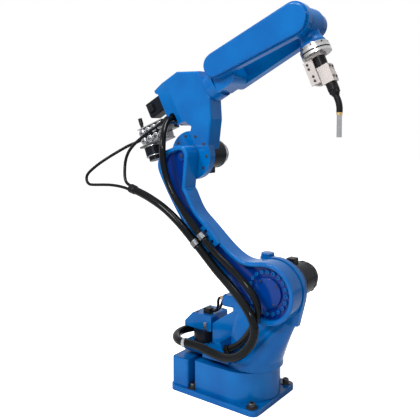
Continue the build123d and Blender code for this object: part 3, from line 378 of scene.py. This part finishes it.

# Hub covers on the channel's floor: two round lids held by small black screws, their deeper blue a painted
# shade of the recess.
# Round the lower one, a circle of socket-head screws, painted over, holds the arm to the shoulder's reducer.
# Painted shade: the covers' deeper blue stands for the shade in the channel's recess.
hub_cover_shaded_paint = coated("hub_cover_shaded_paint", (0.0, 0.035, 0.22), (0.0, 0.026, 0.17), roughness=0.16, peel=0.02,
                     coat=0.08, shine=0.14)
dress(hub_cover_shaded_paint, "shoulder_hub_cover", "elbow_hub_cover")
near_side = (0, -1, 0)
elbow_axis = np.array((-0.23555, 0.0, 0.92378))
hub_circle, lid_circle = 0.076, 0.047
screw_turn = np.radians(np.arange(0, 360, 18))
screw_ring = np.stack([np.cos(screw_turn), 0 * screw_turn, np.sin(screw_turn)], -1)
lathe("shoulder_screws", shoulder + (0, -0.099, 0) + hub_circle * screw_ring, near_side,
      socket_head(radius=0.0072, height=0.008), blue_paint, "lower_arm")
lathe("hub_cover_screws", shoulder + (0, -0.108, 0) + lid_circle * screw_ring[2::5], near_side,
      socket_head(radius=0.004, height=0.003), black_oxide, "lower_arm")
lathe("elbow_cover_screw", elbow_axis + (0, -0.107, 0), near_side,
      socket_head(radius=0.006, height=0.004), black_oxide, "lower_arm")

# Hose clamp: a strap of pressed, zinc-plated steel over both hoses, with a screw between them.
# It is fixed to a blue painted bracket plate on the lower arm.
dark_zinc = machined("dark_zinc", (0.16, 0.165, 0.175), (0.12, 0.125, 0.13), roughness=0.3, grain=(3, 1, 1))
dress(blue_paint, "hose_bracket")
dress(turned_steel, "hose_clamp")
clamp_across = np.array((0.669, 0, 0.743))
clamp_along = np.array((-0.743, 0, 0.669))
clamp_point = np.array((-0.1182, -0.131, 0.6148))
strap_sheet, strap_half = 0.0022, 0.012
strap_seat = (-0.0005, 0.0035)
hose_offset = 0.0195
conduit_hold, conduit_height = 0.0165, 0.020
supply_hold, supply_height = 0.0135, 0.017


def strap_line(lift):
    """Strap seen along the hoses: (across, out) points over one hose, down to the seat and over the other.

    Each hose is passed in a half circle about its middle, and the ends run straight down to the plate."""
    over = np.linspace(np.pi, 0, 25)
    arch = np.stack([np.cos(over), np.sin(over)], -1)
    wide, slim = conduit_hold + lift, supply_hold + lift
    left = (-hose_offset, conduit_height) + wide * arch
    right = (hose_offset, supply_height) + slim * arch
    seat = np.stack([strap_seat, (lift, lift)], -1)
    return np.concatenate([[(-hose_offset - wide, 0)], left, seat, right, [(hose_offset + slim, 0)]])


strap_outer, strap_inner = strap_line(strap_sheet), strap_line(0.0)
strap_loop = np.concatenate([strap_outer, strap_inner[::-1]])
strap_places = clamp_point + strap_loop[:, :1] * clamp_across + strap_loop[:, 1:] * np.array(near_side)
strap_reach = strap_half * clamp_along
strap_skin = np.concatenate([strap_places - strap_reach, strap_places + strap_reach])
strap_count = len(strap_loop)
strap_step = np.arange(strap_count)
strap_next = (strap_step + 1) % strap_count
strap_walls = np.stack([strap_step, strap_next, strap_next + strap_count, strap_step + strap_count], -1)
strap_edge = np.arange(len(strap_outer) - 1)
strap_back = strap_count - 1 - strap_edge
strap_ends = np.stack([strap_edge, strap_back, strap_back - 1, strap_edge + 1], -1)
strap_faces = np.concatenate([strap_walls, strap_ends, strap_ends[:, ::-1] + strap_count]).tolist()
strap = make_piece("hose_strap", strap_skin, strap_faces, dark_zinc)
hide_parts("hose_clamp")
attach(strap, "lower_arm")
lathe("strap_screw", clamp_point + np.mean(strap_seat) * clamp_across, near_side,
      socket_head(radius=0.0036, height=0.006), black_oxide, "lower_arm")

# Elbow: a blue painted housing that turns on the lower arm's upper end, on a turned steel reducer.
# Flush socket screws hold the reducer on the hub's near face, and screws with raised heads the far side.
dress(blue_paint, "elbow_housing")
dress(turned_steel, "elbow_reducer")
elbow_circle = 0.08
lathe("elbow_hub_screws", elbow_axis + (0, -0.0495, 0) + elbow_circle * screw_ring[::2], near_side,
      socket_head(radius=0.0062, height=0.0022), black_oxide, "elbow")


def places_from(point, along_way, up_way):
    """Function that gives a place from a point: along one way, up another and across."""
    def place(along, up, across):
        return point + along * along_way + up * up_way + np.array((0, across, 0))
    return place


fore_along = np.array((0.8829, 0, 0.4695))
fore_up = np.array((-0.4695, 0, 0.8829))
on_elbow = places_from(np.array((-0.32945, 0, 1.10037)), fore_along, fore_up)
far_face = 0.0555
far_screws = ((-0.02, 0.09), (0.06, 0.09), (0.14, 0.06), (0.15, 0.0), (-0.02, 0.0))
lathe("elbow_far_screws", [on_elbow(along, up, far_face) for along, up in far_screws], far_side,
      socket_head(radius=0.006, height=0.005), black_oxide, "elbow")

# Elbow motor on the housing's far side: black enamel like the shoulder motor's.
# Bright turned rings clamp its shell and its cap, and a nylon plug socket sits below.
dress(black_enamel, "elbow_motor", "elbow_motor_cap")
shell_ring = [(0, 0.0572, 0), (0.0005, 0.0588, 0), (0.0065, 0.0588, 0), (0.008, 0.0575, 0),
              (0.008, 0.0485, 0)]
cap_ring = [(0, 0.0482, 0), (0.0005, 0.0495, 0), (0.006, 0.0495, 0), (0.0065, 0.0482, 0)]
lathe("elbow_motor_ring", elbow_axis + (0, 0.1165, 0), far_side, shell_ring, turned_steel,
      "elbow", columns=64)
lathe("elbow_motor_cap_ring", elbow_axis + (0, 0.1335, 0), far_side, cap_ring, turned_steel,
      "elbow", columns=64)
block("elbow_motor_socket", elbow_axis + (0.0, 0.08, -0.066), forwards, far_side,
      sizes=(0.03, 0.036, 0.026), edge=0.003, finish=black_nylon, body="elbow")

# Roll motor behind the elbow: a square body in black enamel with a nylon end plate and plug socket.
# The hoses and cables enter the elbow and the feeder through black nylon glands.
dress(black_enamel, "roll_motor")
dress(black_nylon, "port_gland", "feeder_gland", "elbow_gland")
block("roll_motor_end", on_elbow(along=-0.128, up=0.07, across=0), fore_along, far_side,
      sizes=(0.006, 0.06, 0.06), edge=0.002, finish=black_nylon, body="elbow")
block("roll_motor_socket", on_elbow(along=-0.105, up=0.07, across=-0.0375), fore_along, far_side,
      sizes=(0.026, 0.012, 0.03), edge=0.0025, finish=black_nylon, body="elbow")

# Wire feeder under the elbow: a zinc-plated frame with a black motor in bright rings and a black lever.
# It carries two rows of hardened feed gears on black axle screws, a black pressure bar between the rows and
# milled aluminium bars above and below them.
dress(dark_zinc, "feeder_frame", "feeder_bracket", "feeder_plate")
dress(black_enamel, "feeder_motor")
dress(black_nylon, "feeder_lever")
dress(turned_steel, "feeder_rollers")
milled_aluminium = machined("milled_aluminium", (0.52, 0.52, 0.52), (0.44, 0.44, 0.44), roughness=0.28,
                            grain=(3, 1, 1))
feeder_along = np.array((0.9397, 0, 0.342))
feeder_up = np.array((-0.342, 0, 0.9397))
on_feeder = places_from(np.array((-0.3736, 0, 1.0769)), feeder_along, feeder_up)
feeder_middle = -0.113
gear_pitch, gear_face = 0.035, -0.0082
gear_rows = (-0.014, -0.05)
gear_steps = (-1.5, -0.5, 0.5, 1.5)
gear_feet = [on_feeder(feeder_middle + gear_pitch * step, up, gear_face)
             for up in gear_rows for step in gear_steps]
feed_gear = [(0, 0.0155, 0), (0.0005, 0.0165, 22), (0.006, 0.0165, 22), (0.0065, 0.0145, 0),
             (0.009, 0.0145, 0), (0.0095, 0.0165, 22), (0.015, 0.0165, 22), (0.0158, 0.0145, 0),
             (0.0158, 0.009, 0), (0.0195, 0.009, 0), (0.0195, 0.005, 6), (0.0165, 0.005, 6)]
gears = lathe("feed_gears", gear_feet, near_side, feed_gear, turned_steel, columns=88)
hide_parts("feeder_rollers")
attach(gears, "elbow")
axle_screw = [(0, 0.0042, 0), (0.0042, 0.0042, 0), (0.005, 0.0034, 0)]
lathe("gear_axle_screws", np.array(gear_feet) + (0, -0.0165, 0), near_side, axle_screw, black_oxide,
      "elbow", columns=16)
block("feeder_pressure_bar", on_feeder(feeder_middle, up=-0.032, across=-0.0165), feeder_along, far_side,
      sizes=(0.142, 0.014, 0.0028), edge=0.0008, finish=black_nylon, body="elbow")
for bar_name, bar_up in (("feeder_top_bar", 0.0065), ("feeder_low_bar", -0.0675)):
    block(bar_name, on_feeder(feeder_middle, bar_up, across=-0.014), feeder_along, far_side,
          sizes=(0.144, 0.022, 0.004), edge=0.001, finish=milled_aluminium, body="elbow")
motor_ring = [(0, 0.0362, 0), (0.0005, 0.0375, 0), (0.005, 0.0375, 0), (0.0055, 0.0362, 0)]
motor_end_ring = [(0, 0.0362, 0), (0.0005, 0.0372, 0), (0.004, 0.0372, 0), (0.0045, 0.0285, 0)]
lathe("feeder_motor_ring", on_feeder(along=-0.146, up=-0.0772, across=0), -feeder_up, motor_ring,
      turned_steel, "elbow", columns=48)
lathe("feeder_motor_end_ring", on_feeder(along=-0.146, up=-0.12, across=0), -feeder_up, motor_end_ring,
      turned_steel, "elbow", columns=48)

# Forearm and wrist: castings in blue paint, a neck with a fork of two legs and the drive's long cover.
# The wrist housing between the legs has a duller coat.
dress(blue_paint, "forearm_neck", "drive_leg", "drive_cover", "support_leg")
wrist_paint = coated("wrist_paint", blue, deep_blue, roughness=0.42, peel=0.02, shine=0.12)
dress(wrist_paint, "wrist_housing")

# Tool flange and shock sensor: a turned steel flange with small screws round its rim, and a milled aluminium
# sensor with a black boot in its groove.
dress(turned_steel, "tool_flange")
dress(milled_aluminium, "shock_sensor")
tool_along = np.array((0.4067, 0, -0.9135))
tool_up = np.array((0.9135, 0, 0.4067))
on_tool = places_from(np.array((0.23564, 0, 1.40083)), tool_along, tool_up)
boot = [(0, 0.0488, 0), (0.0005, 0.0522, 0), (0.0025, 0.0512, 0), (0.0045, 0.0522, 0), (0.006, 0.0522, 0),
        (0.0062, 0.0488, 0)]
lathe("sensor_boot", on_tool(along=0.1095, up=0, across=0), tool_along, boot, black_nylon,
      "tool", columns=64)
rim_middle = on_tool(along=0.094, up=0, across=0)
rim_radius = 0.0495
for rim_turn, rim_letter in zip(np.radians(np.arange(15, 375, 45)), "abcdefgh"):
    outward = np.cos(rim_turn) * tool_up + np.sin(rim_turn) * np.array(far_side)
    lathe("flange_screw_" + rim_letter, rim_middle + outward * rim_radius, outward,
          socket_head(radius=0.0032, height=0.0026), black_oxide, "tool", columns=16)

# Torch mount: an angle bracket, a clamp block and a side plate in pale anodised aluminium.
# Black socket screws hold them together.
pale_anodised = coated("pale_anodised", (0.44, 0.40, 0.385), (0.39, 0.36, 0.345), roughness=0.46, peel=0.04)
dress(pale_anodised, "torch_bracket", "torch_block")
block("torch_side_plate", on_tool(along=0.178, up=-0.0315, across=-0.0255), tool_along, tool_up,
      sizes=(0.088, 0.036, 0.007), edge=0.0015, finish=pale_anodised, body="tool")
plate_face, block_face = -0.0288, 0.0305
plate_screws = ((0.147, -0.036), (0.163, -0.036), (0.193, -0.03), (0.209, -0.03))
block_rows, block_sides = (0.18, 0.218), (-0.011, 0.011)
lathe("torch_plate_screws", [on_tool(along, up, plate_face) for along, up in plate_screws], near_side,
      socket_head(radius=0.0044, height=0.0035), black_oxide, "tool")
lathe("torch_block_screws", [on_tool(along, block_face, y) for along in block_rows for y in block_sides],
      tool_up, socket_head(radius=0.0046, height=0.004), black_oxide, "tool")

# Torch: a body, an adapter and a bent neck with black insulation, held by a knurled nylon nut.
# The nozzle is a plain steel tube below a brass ring.
dress(black_nylon, "torch_adapter", "torch_body", "torch_neck")
dress(turned_steel, "nozzle")
ring_brass = machined("ring_brass", (0.72, 0.52, 0.22), (0.55, 0.38, 0.14), roughness=0.3, grain=(1, 1, 1))
dress(ring_brass, "nozzle_ring")
torch_nut = [(0, 0.0175, 0), (0.0005, 0.019, 20), (0.010, 0.019, 20), (0.011, 0.0165, 0), (0.02, 0.0125, 0)]
lathe("torch_nut", on_tool(along=0.262, up=0.009, across=0), tool_along, torch_nut, black_nylon,
      "tool", columns=80)

# Hoses and cables in black rubber: the thick conduit and the supply hose run up from the turret and pass the
# clamp on the lower arm; two thin cables leave the conduit's end sleeve for the feeder and the elbow.
# Each row of a route is a control point.
hose_rubber = coated("hose_rubber", (0.005, 0.006, 0.007), (0.003, 0.0035, 0.004), roughness=0.14, peel=0.03,
                     shine=0.1)
conduit_diameter, supply_diameter, cable_diameter = 0.032, 0.026, 0.013


def hose_line(points):
    """Points along the smooth NURBS line whose control points are the route."""
    curve = bpy.data.curves.new("route", "CURVE")
    curve.dimensions = "3D"
    curve.resolution_u = 10
    spline = curve.splines.new("NURBS")
    spline.points.add(len(points) - 1)
    spline.points.foreach_set("co", np.column_stack([points, np.ones(len(points))]).ravel())
    spline.order_u = 3
    spline.use_endpoint_u = True
    route = bpy.data.objects.new("route", curve)
    scene.collection.objects.link(route)
    bpy.context.view_layer.update()
    traced = bpy.data.meshes.new_from_object(route)
    line = np.empty(len(traced.vertices) * 3)
    traced.vertices.foreach_get("co", line)
    bpy.data.objects.remove(route)
    bpy.data.curves.remove(curve)
    bpy.data.meshes.remove(traced)
    return line.reshape(-1, 3)


def tube(name, points, diameter):
    """Round tube: a circle of the hose's radius carried along its line on frames that don't twist.

    A frame square to the line and to one slanted direction slips round the line from point to point; the
    summed slip turns each frame back."""
    slant, columns = (0, 1, 0.3), 28
    line = hose_line(points)
    along = np.gradient(line, axis=0)
    along /= np.linalg.norm(along, axis=1)[:, None]
    level = np.cross(along, slant)
    level /= np.linalg.norm(level, axis=1)[:, None]
    steep = np.cross(along, level)
    carried = level[:-1] - along[1:] * np.sum(level[:-1] * along[1:], axis=1)[:, None]
    slip = np.arctan2(np.sum(carried * steep[1:], axis=1), np.sum(carried * level[1:], axis=1))
    back = np.concatenate([[0], np.cumsum(slip)])[:, None]
    side = level * np.cos(back) + steep * np.sin(back)
    other = np.cross(along, side)
    turn = np.linspace(0, 2 * np.pi, columns, endpoint=False)[None, :, None]
    skin = line[:, None] + (side[:, None] * np.cos(turn) + other[:, None] * np.sin(turn)) * diameter / 2
    piece = make_piece(name, skin, ring_faces(len(line), columns), hose_rubber)
    piece.data.shade_smooth()
    return piece, line.tolist()


def hose(name, points, diameter, replaced):
    """Hose: a tube along its route in its CAD node's place; the node is hidden and the tube stays in world
    place.
    """
    piece, line = tube(name, points, diameter)
    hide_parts(replaced)
    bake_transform(piece)


hose("conduit_lower_span",
     [(-0.15, 0.047, 0.203), (-0.2138, 0.047, 0.203), (-0.2653, 0.009, 0.203), (-0.285, -0.052, 0.203),
      (-0.2653, -0.1135, 0.203), (-0.2138, -0.151, 0.203), (-0.155, -0.153, 0.209), (-0.098, -0.157, 0.208),
      (-0.04, -0.161, 0.199), (0.014, -0.166, 0.197), (0.064, -0.172, 0.213), (0.103, -0.175, 0.242),
      (0.134, -0.176, 0.281), (0.149, -0.176, 0.326), (0.138, -0.174, 0.37), (0.105, -0.167, 0.406),
      (0.062, -0.159, 0.441), (0.016, -0.153, 0.474), (-0.034, -0.151, 0.511), (-0.0815, -0.151, 0.5555),
      (-0.1224, -0.151, 0.5923)],
     conduit_diameter,
     replaced="conduit_low")
hose("supply_lower_span",
     [(-0.0001, -0.115, 0.213), (0.0259, -0.115, 0.228), (0.052, -0.118, 0.248), (0.08, -0.126, 0.279),
      (0.108, -0.136, 0.316), (0.133, -0.143, 0.356), (0.143, -0.144, 0.398), (0.129, -0.146, 0.44),
      (0.097, -0.148, 0.476), (0.054, -0.148, 0.509), (0.009, -0.148, 0.541), (-0.0554, -0.148, 0.5845),
      (-0.0963, -0.148, 0.6213)],
     supply_diameter,
     replaced="supply_hose_low")
hose("supply_upper_span",
     [(-0.1141, -0.148, 0.6373), (-0.155, -0.148, 0.6741), (-0.204, -0.147, 0.728), (-0.247, -0.146, 0.778),
      (-0.28, -0.145, 0.836), (-0.297, -0.146, 0.898), (-0.303, -0.143, 0.957), (-0.316, -0.122, 1.006),
      (-0.331, -0.09, 1.046), (-0.3385, -0.058, 1.0706), (-0.3385, -0.028, 1.0706)],
     supply_diameter,
     replaced="supply_hose_high")
hose("feeder_cable",
     [(-0.4893, -0.1299, 0.7744), (-0.5164, -0.1277, 0.7811), (-0.56, -0.125, 0.786), (-0.612, -0.123, 0.788),
      (-0.664, -0.121, 0.785), (-0.716, -0.119, 0.781), (-0.757, -0.117, 0.779), (-0.778, -0.114, 0.796),
      (-0.779, -0.11, 0.821), (-0.75, -0.106, 0.846), (-0.71, -0.094, 0.876), (-0.674, -0.07, 0.904),
      (-0.642, -0.038, 0.931), (-0.611, -0.008, 0.955), (-0.5807, 0.008, 0.9675), (-0.5543, 0.008, 0.9771)],
     cable_diameter,
     replaced="feeder_cable_long")
hose("elbow_cable",
     [(-0.485, -0.1299, 0.7919), (-0.5121, -0.1277, 0.7985), (-0.531, -0.121, 0.82), (-0.541, -0.112, 0.85),
      (-0.547, -0.102, 0.89), (-0.54, -0.092, 0.928), (-0.515, -0.082, 0.962), (-0.476, -0.069, 0.995),
      (-0.44, -0.052, 1.026), (-0.4105, -0.034, 1.0482), (-0.3857, -0.034, 1.0614)],
     cable_diameter,
     replaced="feeder_cable_short")

# Conduit fittings: a bright steel band after its first bend on the turret, and a ribbed black nylon sleeve.
# In the sleeve the conduit ends and the two thin cables come out.
dress(turned_steel, "conduit_sleeve")
band = [(-0.007, 0.0163, 0), (-0.006, 0.0178, 0), (0.006, 0.0178, 0), (0.007, 0.0163, 0)]
lathe("conduit_band", (-0.1844, -0.152, 0.206), (0.994, -0.034, 0.101), band, turned_steel, "turret",
      columns=40)
ribbed_sleeve = [(-0.006, 0.0162, 0), (-0.004, 0.018, 0), (0.002, 0.019, 0), (0.006, 0.019, 0),
                 (0.007, 0.0178, 0), (0.010, 0.0178, 0), (0.011, 0.019, 0), (0.016, 0.019, 0),
                 (0.017, 0.0178, 0), (0.020, 0.0178, 0), (0.021, 0.019, 0), (0.025, 0.019, 0),
                 (0.026, 0.0182, 0)]
sleeve_foot, sleeve_way = (-0.462, -0.132, 0.777), (-0.968, 0.079, 0.237)
sleeve = lathe("conduit_end_sleeve", sleeve_foot, sleeve_way, ribbed_sleeve, black_nylon, columns=40)
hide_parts("conduit_sleeve")
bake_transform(sleeve)
hose("conduit_upper_span",
     [(-0.1402, -0.151, 0.6084), (-0.1811, -0.151, 0.6452), (-0.237, -0.149, 0.687), (-0.297, -0.145, 0.722),
      (-0.362, -0.14, 0.748), (-0.413, -0.136, 0.765), sleeve_foot],
     conduit_diameter,
     replaced="conduit_high")

# Motor leads on the turret: two thin cables in black rubber.
# They run from the swivel drive's plug up to the two plugs of the junction cover.
lead_diameter = 0.011
for lead_name, lead_length, lead_points in (
    ("junction_lead_near", 0.098,
     [(-0.160, -0.012, 0.300), (-0.146, -0.012, 0.300), (-0.134, -0.013, 0.306), (-0.124, -0.016, 0.326),
      (-0.122, -0.019, 0.348), (-0.117, -0.021, 0.362), (-0.104, -0.022, 0.366)]),
    ("junction_lead_far", 0.093,
     [(-0.160, -0.004, 0.300), (-0.147, -0.003, 0.300), (-0.136, 0.004, 0.304), (-0.130, 0.014, 0.320),
      (-0.128, 0.020, 0.338), (-0.120, 0.022, 0.350), (-0.104, 0.022, 0.352)]),
):
    lead, lead_line = tube(lead_name, lead_points, lead_diameter)
    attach(lead, "turret")
